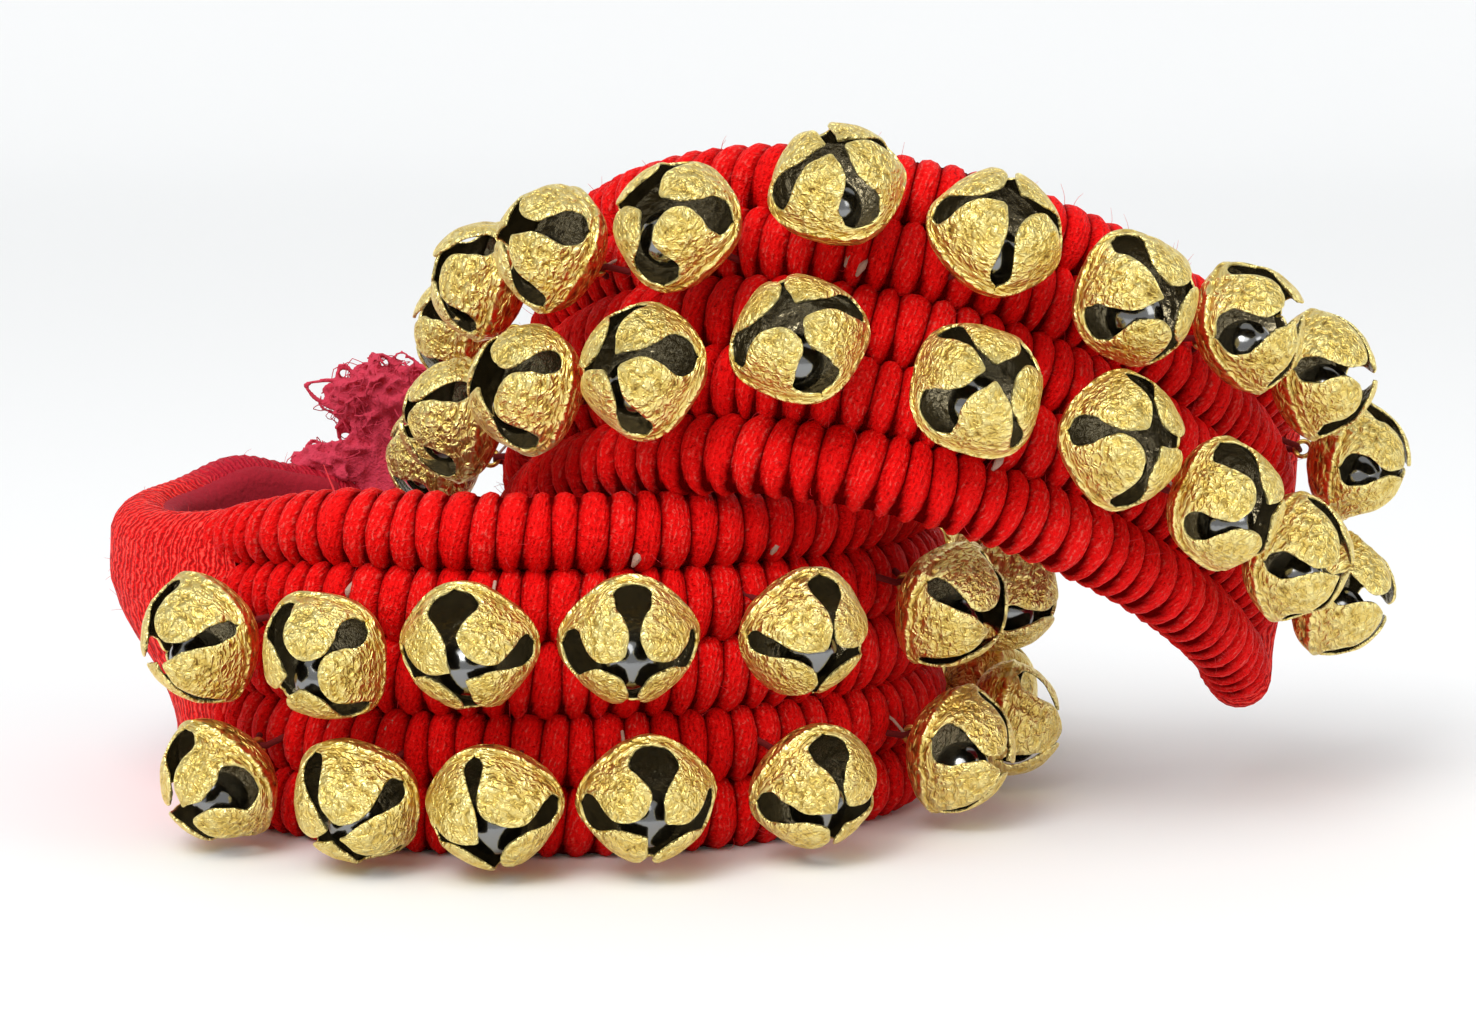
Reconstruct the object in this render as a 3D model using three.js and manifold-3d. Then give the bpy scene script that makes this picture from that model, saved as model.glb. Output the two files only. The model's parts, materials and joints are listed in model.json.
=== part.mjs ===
// A pair of ghungroo ankle bells: two wrapped pads, each sewn with two rows of slotted brass bells.
// Sizes are in millimetres, angles in degrees. +Z is up and the viewer stands at -Y.
import * as THREE from 'three';
import { mergeVertices } from 'three/addons/utils/BufferGeometryUtils.js';
import Module from 'manifold-3d';

const wasm = await Module();
wasm.setup();

// Clearance between pieces that touch on the real object.
const seatGap = 0.3;

// A pad is a stack of yarn-wrapped rolls sewn side by side.
const rollCount = 5;
const rollPitch = 9.5;
const padThickness = 9;
const channelDepth = 2.5;
const restFlat = 0.5;
const endTaper = 7;
const endThinning = 0.75;
const ovalSteps = 720;
const outerFacets = 4;
const innerFacets = 3;
const padSteps = 32;

// Each pad is bent into an oval; lengths along it are counted from the middle of its front.
// A first bell's length places its rows, and the bare ends run on past the first bells and the last.
const standingHalfWidth = 49.8;
const standingHalfDepth = 41.9;
const standingFirst = -38.9;
const standingBareEnd = 72;
const leaningHalfWidth = 51.6;
const leaningHalfDepth = 67.2;
const leaningFirst = -61.5;
const leaningBareEnd = 14;
const shortEnd = 10.5;

// The standing pad's long bare end bulges outward, and its two upper rolls are gathered in.
const endFlare = 10;
const flareFrom = -48;
const flareFoot = 10;
const flareCrest = 31;
const endGather = 6.4;
const gatherRolls = 2;
const gatherFrom = -22;
const gatherTo = -64;

// The second pad is turned over and lies on the first one's top edge, tilted back.
const leanTilt = -25.3;
const leanRoll = 1.4;
const leanTurn = -19.6;
const leanAside = 26.8;
const leanSetback = -3.2;
const leanRise = 0.98;
const leanDroop = 5.5;

// Bells hang in two rows, two rolls apart, on cords that run along the channels.
// Levels of a bell's profile are shares of its rim's radius, and of its cup's or dome's height.
const bellsPerRow = 10;
const rowGap = 1.7;
const bellDiameter = 2 * rollPitch - rowGap;
const bellWall = 0.9;
const bellTuck = 0.3;
const bellBack = 1.5;
const bellBackWidth = 4;
const cupHeight = 5.6;
const domeHeight = 8.6;
const cupSwell = [0.74, 0.38];
const petalBelly = [0.9, 0.46];
const petalNeck = [0.54, 0.84];
const stringDiameter = 1.2;
const stringDip = 1.1;
const stringHold = 2;
const stringSides = 6;
const lugWall = 0.7;
const lugWidth = 1.4;
const lugSides = 6;

// Four petals close over a bell's front, with slots between them that narrow towards its middle.
// Slopes say how far the wall's thickness leans over at each level.
const petalCount = 4;
const slotFootWidth = 2.4;
const slotWidth = 3.6;
const slotNeckWidth = 1.7;
const petalGap = 0.8;
const petalPoints = 4;
const neckPoints = 3;
const backSlope = 0.3;
const bellySlope = 0.4;
const neckSlope = 0.7;

const ballDiameter = 7.6;
const ballDrop = 2.6;
const ballRise = 1.7;
const ballDetail = 1;

// The frayed tie at the tip of that end: places past the tip, outward and up, and half widths.
const tieRoute = [[0, 0, 0], [3, 0, 0], [6.5, 3, 5], [7, 4, 12], [6, 4, 18], [4, 4, 23]];
const tieRadii = [2, 3.6, 5.6, 7, 7.4, 4];
const tieFoot = 36;
const tieSides = 10;

// Each row lies in one channel, counted up from its pad's foot. Each sewn bell has a lean up from the
// pad, a lift above the channel, a slide along the cord and a turn of its slots. The listed bells,
// counted from the left, have a ball that is plain to see.
const rows = {
  standingTop: {
    channel: 3,
    lean: [3, 3, 4, 2, 8, 8, 5, 5, 4, 5],
    lift: [-0.3, -0.4, 1.9, 3, 1.6, 2.3, 0.8, 1, 0.6, 0.9],
    slide: [0, -0.8, -2, -2.9, -1.3, 1, 0, 0, 0.5, 0],
    turn: [20, 38, 8, 0, -4, -32, 15, 40, 5, 25],
    balls: [1, 3, 4, 5, 6],
  },
  standingLow: {
    channel: 1,
    lean: [3, 3, 2, 3, 3, 4, 4, 3, 4, 3],
    lift: [0.4, 0.3, 0.8, 1.4, 1.1, 1.5, 1, 0.6, 0.4, 0.5],
    slide: [2.1, 2.4, 0.3, -1.1, 0, 3.2, 3.2, 2, 1, 0.5],
    turn: [15, 28, 12, 0, 6, -22, 30, 10, 45, 0],
    balls: [3, 4, 5],
  },
  leaningTop: {
    channel: 4,
    lean: [-18, -20, -24, -24, -14, -16, -20, -14, -10, -16],
    lift: [-2.5, -3.2, -4.3, -4.1, 0.8, -1.1, -2.6, 0.9, 1.6, -1.4],
    slide: [-1.5, 0.8, 2.2, 1.9, 0, -1.2, -2.2, -1.9, -3, -1.8],
    turn: [10, 20, 5, 0, 35, 2, 40, 30, 15, 25],
    balls: [5, 6, 8],
  },
  leaningLow: {
    channel: 2,
    lean: [-18, -22, -26, -24, -16, -16, -18, -18, -18, -16],
    lift: [-2.5, -4.4, -4.6, -4.5, -0.3, -2.7, -2.5, -4.2, -4.6, -2.6],
    slide: [-1.3, 1.8, 2.5, 1, -1.2, -0.8, -1.4, -2.7, -4, -3.4],
    turn: [25, 15, 18, 10, 30, 42, 8, 35, 20, 5],
    balls: [5, 7],
  },
};

const padHeight = rollCount * rollPitch;
const standingTip = standingFirst - standingBareEnd;
const leaningTip = leaningFirst - leaningBareEnd;
const halfThick = padThickness / 2;
const stringRadius = stringDiameter / 2;
const stringOut = halfThick + stringRadius;
const eyeRadius = stringRadius + seatGap;
const lugRadius = eyeRadius + lugWall;
const bellPitch = bellDiameter - bellTuck;
const rimRadius = bellDiameter / 2;
const rimHeight = bellBack + cupHeight;
const apexHeight = rimHeight + domeHeight;
const swellRadius = rimRadius * cupSwell[0];
const swellHeight = bellBack + cupHeight * cupSwell[1];
const bellyRadius = rimRadius * petalBelly[0];
const bellyHeight = rimHeight + domeHeight * petalBelly[1];
const neckRadius = rimRadius * petalNeck[0];
const neckHeight = rimHeight + domeHeight * petalNeck[1];
const ballHeight = rimHeight + ballRise;

const yarnRed = { color: 0xc60d16, roughness: 0.85, metalness: 0 };
const cordRed = { color: 0x8e0a10, roughness: 0.9, metalness: 0 };
const frayPink = { color: 0xc8324a, roughness: 0.9, metalness: 0 };
const wornBrass = { color: 0xb8913a, roughness: 0.42, metalness: 1 };
const steel = { color: 0x8c8f92, roughness: 0.22, metalness: 1 };

function part(name, geometry, finish) {
  const mesh = new THREE.Mesh(geometry, new THREE.MeshStandardMaterial(finish));
  mesh.name = name;
  return mesh;
}

function toSolid(geometry) {
  const bare = geometry.clone();
  bare.deleteAttribute('normal');
  bare.deleteAttribute('uv');
  const welded = mergeVertices(bare, 1e-4);
  const corners = [];
  for (let i = 0; i < welded.index.count; i += 3) {
    const [a, b, c] = [welded.index.getX(i), welded.index.getX(i + 1), welded.index.getX(i + 2)];
    if (a !== b && b !== c && c !== a) corners.push(a, b, c);
  }
  const vertProperties = new Float32Array(welded.attributes.position.array);
  const triVerts = new Uint32Array(corners);
  return new wasm.Manifold(new wasm.Mesh({ numProp: 3, vertProperties, triVerts }));
}

function toGeometry(solid) {
  const mesh = solid.getMesh();
  const geometry = new THREE.BufferGeometry();
  geometry.setAttribute('position', new THREE.BufferAttribute(new Float32Array(mesh.vertProperties), 3));
  geometry.setIndex(new THREE.BufferAttribute(new Uint32Array(mesh.triVerts), 1));
  geometry.computeVertexNormals();
  return geometry;
}

// Rings of points, one for each point of the outline, joined into one closed skin.
function loft(rings, outline) {
  const sides = outline.length;
  const corners = [];
  for (let r = 0; r < rings.length - 1; r += 1) {
    for (let i = 0; i < sides; i += 1) {
      const a = r * sides + i;
      const b = r * sides + (i + 1) % sides;
      corners.push(a, b + sides, b, a, a + sides, b + sides);
    }
  }
  const last = (rings.length - 1) * sides;
  for (const [a, b, c] of THREE.ShapeUtils.triangulateShape(outline, [])) {
    corners.push(a, b, c);
    corners.push(last + c, last + b, last + a);
  }
  const geometry = new THREE.BufferGeometry();
  geometry.setFromPoints(rings.flat());
  geometry.setIndex(corners);
  geometry.computeVertexNormals();
  return geometry;
}

// A round tube along a route, with a radius at each of its points.
function tube(route, radii, sides) {
  const up = new THREE.Vector3(0, 0, 1);
  const outline = [];
  for (let k = 0; k < sides; k += 1) {
    const turn = 2 * Math.PI * k / sides;
    outline.push(new THREE.Vector2(Math.cos(turn), Math.sin(turn)));
  }
  const rings = route.map((spot, i) => {
    const before = route[Math.max(i - 1, 0)];
    const after = route[Math.min(i + 1, route.length - 1)];
    const along = after.clone().sub(before).normalize();
    const across = new THREE.Vector3().crossVectors(along, up).normalize();
    const over = new THREE.Vector3().crossVectors(across, along);
    return outline.map(({ x, y }) => spot.clone()
      .addScaledVector(across, radii[i] * x)
      .addScaledVector(over, radii[i] * y));
  });
  return loft(rings, outline);
}

// The oval that a pad's middle follows, and where a length along it lies.
function bend(halfWidth, halfDepth, droop) {
  const oval = new THREE.EllipseCurve(0, 0, halfWidth, halfDepth, -1.5 * Math.PI, 0.5 * Math.PI);
  oval.arcLengthDivisions = ovalSteps;
  const around = oval.getLength();
  return (length) => {
    const share = 0.5 + length / around;
    const middle = oval.getPointAt(share);
    const along = oval.getTangentAt(share);
    const outward = new THREE.Vector3(along.y, -along.x, 0);
    const sag = droop * (1 + middle.y / halfDepth);
    return { middle: new THREE.Vector3(middle.x, middle.y, -sag), outward };
  };
}

// Half of one roll's outline, from channel to channel, as [outward, upward] points.
function rollFace(side, facets, roll) {
  const points = [];
  for (let i = 0; i <= facets; i += 1) {
    const turn = Math.PI * i / facets;
    const outer = (roll === 0 && turn < Math.PI / 2) || (roll === rollCount - 1 && turn > Math.PI / 2);
    const depth = outer ? halfThick : channelDepth;
    const out = halfThick - depth * (1 - Math.sin(turn));
    points.push([side * out, (roll + (1 - Math.cos(turn)) / 2) * rollPitch]);
  }
  return points;
}

// The pad's section: up the outer face and down the inner one, with its foot cut flat or left round.
function padSection(flat) {
  const out = [];
  const back = [];
  for (let roll = 0; roll < rollCount; roll += 1) {
    out.push(...rollFace(1, outerFacets, roll).slice(roll === 0 ? 1 : 0, -1));
    back.push(...rollFace(-1, innerFacets, roll).slice(1));
  }
  const crest = [0, padHeight];
  const footHalf = halfThick * Math.sqrt(1 - (1 - 2 * flat / rollPitch) ** 2);
  const foot = flat > 0 ? [[-footHalf, flat], [footHalf, flat]] : [[0, 0]];
  back.pop();
  return [...out, crest, ...back.reverse(), ...foot];
}

// How the standing pad's section is drawn out and down along its bare end.
function standingShape(length, out, up) {
  const share = THREE.MathUtils.clamp((flareFrom - length) / (flareFrom - standingTip), 0, 1);
  const rise = THREE.MathUtils.smoothstep(up, flareFoot, flareCrest);
  const bulge = endFlare * Math.sin(Math.PI * share) * rise;
  const gather = endGather * THREE.MathUtils.smoothstep(-length, -gatherFrom, -gatherTo);
  const gatherHeight = gatherRolls * rollPitch;
  const drop = gather * Math.max(0, 1 - (padHeight - up) / gatherHeight);
  return [out + bulge, up - drop];
}

function leaningShape(length, out, up) {
  return [out, up];
}

function pad(name, place, from, to, flat, shape) {
  const section = padSection(flat);
  const outline = section.map(([out, up]) => new THREE.Vector2(out, up));
  const rings = [];
  for (let step = 0; step <= padSteps; step += 1) {
    const length = from + (to - from) * step / padSteps;
    const toEnd = Math.min(length - from, to - length) / endTaper;
    const full = toEnd < 1 ? Math.sqrt(1 - endThinning * (1 - toEnd) ** 2) : 1;
    const { middle, outward } = place(length);
    rings.push(section.map(([out, up]) => {
      const [across, rise] = shape(length, out * full, up);
      const spot = middle.clone().addScaledVector(outward, across);
      return spot.setZ(middle.z + rise);
    }));
  }
  return part(name, loft(rings, outline), yarnRed);
}

// How far out a bell's eye lies when it is lifted off its channel, clear of the roll beside it.
function eyeOut(lift) {
  const turn = Math.acos(1 - 2 * Math.abs(lift) / rollPitch);
  const face = halfThick - channelDepth * (1 - Math.sin(turn));
  return Math.max(stringOut, face + lugRadius + 2 * seatGap);
}

// A cord that runs straight through each bell's eye, and dips into the channel between them.
function stringCord(name, place, lengths, lifts, height) {
  const at = (length, out, up) => {
    const { middle, outward } = place(length);
    const spot = middle.clone().addScaledVector(outward, out);
    return spot.setZ(middle.z + up);
  };
  const dip = (length) => at(length, stringOut - stringDip, height);
  const route = [dip(lengths[0] - bellPitch / 2)];
  lengths.forEach((length, i) => {
    const out = eyeOut(lifts[i]);
    const up = height + lifts[i];
    const next = lengths[i + 1] ?? length + bellPitch;
    route.push(at(length - stringHold, out, up), at(length + stringHold, out, up));
    route.push(dip((length + next) / 2));
  });
  return part(name, tube(route, route.map(() => stringRadius), stringSides), cordRed);
}

// Triangles between two runs of corners, either of which may be a single point.
function strip(lower, upper) {
  const corners = [];
  let i = 0;
  let j = 0;
  while (i < lower.length - 1 || j < upper.length - 1) {
    const lowerNext = lower.length > 1 ? (i + 1) / (lower.length - 1) : Infinity;
    const upperNext = upper.length > 1 ? (j + 1) / (upper.length - 1) : Infinity;
    if (lowerNext <= upperNext) {
      corners.push(lower[i], lower[i + 1], upper[j]);
      i += 1;
    } else {
      corners.push(lower[i], upper[j + 1], upper[j]);
      j += 1;
    }
  }
  return corners;
}

// A bell's wall, its eye at the origin and its front at +Z: a turned cup, and petals that close over it.
function bellShell() {
  const points = [];
  const corners = [];
  const join = (lower, upper) => corners.push(...strip(lower, upper));
  const quarter = 2 * Math.PI / petalCount;
  const corner = (radius, turn, height) => {
    points.push(new THREE.Vector3(radius * Math.cos(turn), radius * Math.sin(turn), height));
    return points.length - 1;
  };
  const ring = (radius, height, count) => {
    const run = [];
    for (let k = 0; k < count; k += 1) run.push(corner(radius, 2 * Math.PI * (k + 0.5) / count, height));
    return [...run, run[0]];
  };
  // A run of corners across each petal, clear of the slots beside it.
  const across = (radius, height, slot, count) => {
    const petals = [];
    for (let petal = 0; petal < petalCount; petal += 1) {
      const edge = Math.asin(slot / 2 / radius);
      const run = [];
      for (let k = 0; k < count; k += 1) {
        const share = count > 1 ? k / (count - 1) : 0.5;
        run.push(corner(radius, petal * quarter + edge + (quarter - 2 * edge) * share, height));
      }
      petals.push(run);
    }
    return petals;
  };
  const loop = (petals) => [...petals.flat(), petals[0][0]];
  const side = (wall) => {
    const back = ring(bellBackWidth / 2 - wall * backSlope, bellBack + wall, 2 * petalCount);
    const rim = across(rimRadius - wall, rimHeight, slotFootWidth, petalPoints);
    const belly = across(bellyRadius - wall, bellyHeight - wall * bellySlope, slotWidth, petalPoints);
    const lean = wall * neckSlope;
    const neck = across(neckRadius - lean, neckHeight - lean, slotNeckWidth, neckPoints);
    const tip = across(petalGap, apexHeight - wall, 0, 1);
    return { hub: corner(0, 0, bellBack + wall), back, rim, belly, neck, tip };
  };
  const outer = side(0);
  const inner = side(bellWall);
  const swell = ring(swellRadius, swellHeight, 4 * petalCount);
  join([outer.hub], outer.back);
  join(outer.back, swell);
  join(swell, loop(outer.rim));
  join(inner.back, [inner.hub]);
  join(loop(inner.rim), inner.back);
  for (let k = 0; k < petalCount; k += 1) {
    const rise = (wall) => [wall.rim[k], wall.belly[k], wall.neck[k], wall.tip[k]];
    const out = rise(outer);
    const within = rise(inner);
    for (let level = 0; level < out.length - 1; level += 1) {
      join(out[level], out[level + 1]);
      join(within[level + 1], within[level]);
    }
    join(out.map((run) => run[0]), within.map((run) => run[0]));
    join(within.map((run) => run.at(-1)), out.map((run) => run.at(-1)));
    const next = (k + 1) % petalCount;
    join([out[0].at(-1), outer.rim[next][0]], [within[0].at(-1), inner.rim[next][0]]);
  }
  const shell = new THREE.BufferGeometry();
  shell.setFromPoints(points);
  shell.setIndex(corners);
  return toSolid(shell);
}

// The pierced lug behind the cup, its eye along X.
function bellLug() {
  const top = bellBack + bellWall / 2;
  const outline = new THREE.Shape();
  const eye = new THREE.Path();
  outline.moveTo(lugRadius, top);
  outline.lineTo(-lugRadius, top);
  for (let k = 0; k <= lugSides / 2; k += 1) {
    const turn = Math.PI + 2 * Math.PI * k / lugSides;
    outline.lineTo(lugRadius * Math.cos(turn), lugRadius * Math.sin(turn));
  }
  for (let k = 0; k < lugSides; k += 1) {
    const turn = 2 * Math.PI * k / lugSides;
    const radius = eyeRadius / Math.cos(Math.PI / lugSides);
    if (k === 0) eye.moveTo(radius, 0);
    else eye.lineTo(radius * Math.cos(turn), -radius * Math.sin(turn));
  }
  outline.holes.push(eye);
  const plate = new THREE.ExtrudeGeometry(outline, { depth: lugWidth, bevelEnabled: false });
  plate.translate(0, 0, -lugWidth / 2);
  plate.rotateX(Math.PI / 2);
  plate.rotateZ(Math.PI / 2);
  return toSolid(plate);
}

const shell = bellShell();
const lug = bellLug();

function bell(name, turn) {
  return part(name, toGeometry(shell.rotate([0, 0, turn]).add(lug)), wornBrass);
}

// A row of bells on its cord, with the balls that show, all in the pad's own frame.
function bellRow(label, row, place, first) {
  const pieces = [];
  const height = row.channel * rollPitch;
  const lengths = row.slide.map((slide, i) => first + i * bellPitch + slide);
  const up = new THREE.Vector3(0, 0, 1);
  pieces.push(stringCord(`${label}_string`, place, lengths, row.lift, height));
  for (let i = 0; i < bellsPerRow; i += 1) {
    const number = String(i + 1).padStart(2, '0');
    const { middle, outward } = place(lengths[i]);
    const eye = middle.clone().addScaledVector(outward, eyeOut(row.lift[i]));
    eye.z += height + row.lift[i];
    const lean = THREE.MathUtils.degToRad(row.lean[i]);
    const axis = new THREE.Vector3().crossVectors(outward, up);
    const facing = outward.clone().applyAxisAngle(axis, lean);
    const down = new THREE.Vector3().crossVectors(facing, axis);
    const seat = new THREE.Matrix4().makeBasis(axis, down, facing).setPosition(eye);
    const shellMesh = bell(`${label}_bell_${number}`, row.turn[i]);
    shellMesh.applyMatrix4(seat);
    pieces.push(shellMesh);
    if (!row.balls.includes(i + 1)) continue;
    const round = new THREE.OctahedronGeometry(ballDiameter / 2, ballDetail);
    const ball = part(`${label}_ball_${number}`, round, steel);
    ball.position.copy(new THREE.Vector3(0, ballDrop, ballHeight).applyMatrix4(seat));
    pieces.push(ball);
  }
  return pieces;
}

function tieTassel(place, from) {
  const { middle, outward } = place(from);
  const past = new THREE.Vector3(outward.y, -outward.x, 0);
  const root = middle.clone().setZ(middle.z + tieFoot);
  const route = tieRoute.map(([beyond, out, up]) => {
    const spot = root.clone().addScaledVector(past, seatGap + beyond).addScaledVector(outward, out);
    return spot.setZ(spot.z + up);
  });
  return part('tie_tassel', tube(route, tieRadii, tieSides), frayPink);
}

// The standing pad rests on its flat foot, with its bare roll uppermost.
const standing = new THREE.Group();
const standingPlace = bend(standingHalfWidth, standingHalfDepth, 0);
const standingLast = standingFirst + (bellsPerRow - 1) * bellPitch;
const standingEnd = standingLast + shortEnd;
standing.add(pad('standing_pad', standingPlace, standingTip, standingEnd, restFlat, standingShape));
standing.add(tieTassel(standingPlace, standingTip));
standing.add(...bellRow('standing_top', rows.standingTop, standingPlace, standingFirst));
standing.add(...bellRow('standing_low', rows.standingLow, standingPlace, standingFirst));
standing.position.z = -restFlat;

// The leaning pad has its bare roll undermost, and its frame at the foot of that roll.
const leaning = new THREE.Group();
const leaningPlace = bend(leaningHalfWidth, leaningHalfDepth, leanDroop);
const leaningLast = leaningFirst + (bellsPerRow - 1) * bellPitch;
const leaningEnd = leaningLast + shortEnd;
leaning.add(pad('leaning_pad', leaningPlace, leaningTip, leaningEnd, 0, leaningShape));
leaning.add(...bellRow('leaning_top', rows.leaningTop, leaningPlace, leaningFirst));
leaning.add(...bellRow('leaning_low', rows.leaningLow, leaningPlace, leaningFirst));
const degrees = THREE.MathUtils.degToRad;
leaning.rotation.set(degrees(leanTilt), degrees(leanRoll), degrees(leanTurn), 'ZYX');
const footRise = padHeight - restFlat + leanRise;
const frontFoot = new THREE.Vector3(leanAside, leanSetback - standingHalfDepth, footRise);
const ovalFront = new THREE.Vector3(0, -leaningHalfDepth, 0).applyEuler(leaning.rotation);
leaning.position.copy(frontFoot).sub(ovalFront);

// The frame's origin is under the middle of the whole, on the ground.
const pair = new THREE.Group();
pair.add(standing, leaning);
const box = new THREE.Box3().setFromObject(pair, true);
const centre = box.getCenter(new THREE.Vector3());
pair.position.set(-centre.x, -centre.y, -box.min.z);

const group = new THREE.Group();
group.add(pair);

export default group;
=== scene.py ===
import json
import math

import bpy
import numpy as np
from mathutils import Euler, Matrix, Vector


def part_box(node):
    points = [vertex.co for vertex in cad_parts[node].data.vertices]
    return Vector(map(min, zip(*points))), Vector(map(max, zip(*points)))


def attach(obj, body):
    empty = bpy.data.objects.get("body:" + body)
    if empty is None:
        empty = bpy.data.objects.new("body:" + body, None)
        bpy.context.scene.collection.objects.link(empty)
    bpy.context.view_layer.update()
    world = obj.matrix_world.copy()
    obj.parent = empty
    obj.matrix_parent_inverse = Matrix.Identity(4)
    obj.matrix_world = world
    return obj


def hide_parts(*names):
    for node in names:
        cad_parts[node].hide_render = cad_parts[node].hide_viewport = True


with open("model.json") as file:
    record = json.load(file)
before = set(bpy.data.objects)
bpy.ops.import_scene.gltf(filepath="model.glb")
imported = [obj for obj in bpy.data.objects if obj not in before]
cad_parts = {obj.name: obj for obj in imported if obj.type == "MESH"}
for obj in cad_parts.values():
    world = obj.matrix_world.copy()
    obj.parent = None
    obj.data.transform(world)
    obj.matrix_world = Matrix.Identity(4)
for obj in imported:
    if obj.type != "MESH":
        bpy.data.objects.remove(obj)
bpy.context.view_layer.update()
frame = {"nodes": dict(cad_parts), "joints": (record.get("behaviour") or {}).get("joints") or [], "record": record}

mm = 0.001
seam = 0.004 * mm  # points of a soft piece closer than this are one
chance = np.random.default_rng(11)
swings = {joint["child"]: joint for joint in frame["joints"]}

# both pads are five wrapped rolls, bent along an oval
# sizes are in millimetres, and lengths along a pad run from the middle of its front
band = {
    "rolls": 5, "pitch": 9.5, "halfThick": 4.5, "foot": 0.5,
    "endRound": 5.0, "bellPitch": 17.0, "bells": 10, "shortEnd": 10.5, "ovalSteps": 720,
}
band["height"] = band["rolls"] * band["pitch"]

standing = {
    "body": "standing", "node": "standing_pad", "halfWidth": 49.8, "halfDepth": 41.9, "droop": 0.0,
    "first": -38.9, "bareEnd": 72.0,
    "flare": 10.0, "flareFrom": -48.0, "flareFoot": 10.0, "flareCrest": 31.0,
    "gather": 6.4, "gatherRolls": 2, "gatherFrom": -22.0, "gatherTo": -64.0,
    "hump": 2.5, "humpAt": -94.0, "humpHalf": 6.0, "tipDrop": 2.0, "tipLength": 9.0,
}
leaning = {
    "body": "leaning", "node": "leaning_pad", "halfWidth": 51.6, "halfDepth": 67.2, "droop": 5.5,
    "first": -61.5, "bareEnd": 14.0, "tilt": -25.3, "roll": 1.4, "turn": -19.6,
    "aside": 26.8, "setback": -3.2, "rise": 0.98,
}


def setPad(pad):
    pad["start"] = pad["first"] - pad["bareEnd"]
    pad["stop"] = pad["first"] + (band["bells"] - 1) * band["bellPitch"] + band["shortEnd"]
    angle = np.linspace(-1.5 * math.pi, 0.5 * math.pi, band["ovalSteps"] + 1)
    across, deep = pad["halfWidth"] * np.cos(angle), pad["halfDepth"] * np.sin(angle)
    steps = np.hypot(np.diff(across), np.diff(deep))
    pad["angle"] = angle
    pad["reach"] = np.concatenate([[0], np.cumsum(steps)])


def padPlace(pad, length):  # middle of the band and its outward direction, in the pad's own frame
    turn = np.interp(length + pad["reach"][-1] / 2, pad["reach"], pad["angle"])
    cos, sin = np.cos(turn), np.sin(turn)
    middle = np.stack([pad["halfWidth"] * cos, pad["halfDepth"] * sin, -pad["droop"] * (1 + sin)], -1)
    along = np.stack([-pad["halfWidth"] * sin, pad["halfDepth"] * cos], -1)
    along /= np.linalg.norm(along, axis=-1, keepdims=True)
    outward = np.stack([along[..., 1], -along[..., 0], np.zeros_like(sin)], -1)
    return middle, outward


setPad(standing)
setPad(leaning)
restFoot = frame["record"]["mounts"][0]["pos_m"]  # under the front of the standing oval
ovalCentre = np.array([restFoot[0] / mm, restFoot[1] / mm + standing["halfDepth"], 0])
leanAngles = [math.radians(leaning[key]) for key in ("tilt", "roll", "turn")]
leanTurn = np.array(Euler(leanAngles, "XYZ").to_matrix())
leanFoot = np.array([
    leaning["aside"], leaning["setback"] - standing["halfDepth"],
    band["height"] - band["foot"] + leaning["rise"],
])
leanShift = leanFoot - leanTurn @ np.array([0, -leaning["halfDepth"], 0])


def toFrame(pad, points):  # from the pad's millimetres to the frame's metres
    if pad is leaning:
        points = points @ leanTurn.T + leanShift
    else:
        points = points - np.array([0, 0, band["foot"]])
    return (points + ovalCentre) * mm


def easeIn(value, low, high):
    share = np.clip((value - low) / (high - low), 0, 1)
    return share * share * (3 - 2 * share)


def onPad(pad, length, out, up):  # a point of the band, with the standing pad's flared and gathered end
    middle, outward = padPlace(pad, length)
    if pad is standing:
        share = np.clip((pad["flareFrom"] - length) / (pad["flareFrom"] - pad["start"]), 0, 1)
        out = out + pad["flare"] * np.sin(math.pi * share) * easeIn(up, pad["flareFoot"], pad["flareCrest"])
        drop = pad["gather"] * easeIn(-length, -pad["gatherFrom"], -pad["gatherTo"])
        drop = drop - pad["hump"] * np.exp(-((length - pad["humpAt"]) / pad["humpHalf"]) ** 2)
        drop = drop + pad["tipDrop"] * easeIn(-length, -pad["start"] - pad["tipLength"], -pad["start"])
        up = up - drop * np.maximum(0, 1 - (band["height"] - up) / (pad["gatherRolls"] * band["pitch"]))
        up = np.maximum(up, band["foot"])
    points = middle + outward * out[..., None]
    points[..., 2] += up
    return toFrame(pad, points)


def clearSelection():
    if bpy.context.object and bpy.context.object.mode != "OBJECT":
        bpy.ops.object.mode_set(mode="OBJECT")
    bpy.ops.object.select_all(action="DESELECT")


def gridPiece(name, columns, rows, shape):  # a flat grid, moved point by point onto its shape
    clearSelection()
    bpy.ops.mesh.primitive_grid_add(x_subdivisions=columns, y_subdivisions=rows, size=1)
    piece = bpy.context.object
    piece.name = name
    piece.data.name = name
    mesh = piece.data
    flat = np.empty(len(mesh.vertices) * 3)
    mesh.vertices.foreach_get("co", flat)
    flat = flat.reshape(-1, 3) + 0.5
    i = np.rint(flat[:, 0] * columns).astype(int)
    j = np.rint(flat[:, 1] * rows).astype(int)
    points, uv, marks = shape(i, j)
    mesh.vertices.foreach_set("co", points.ravel())
    corner = np.empty(len(mesh.loops), dtype=int)
    mesh.loops.foreach_get("vertex_index", corner)
    mesh.uv_layers.active.data.foreach_set("uv", uv[corner].ravel())
    for mark, values in marks.items():
        mesh.attributes.new(mark, "FLOAT", "POINT").data.foreach_set("value", values)
    mesh.update()
    return piece


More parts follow.
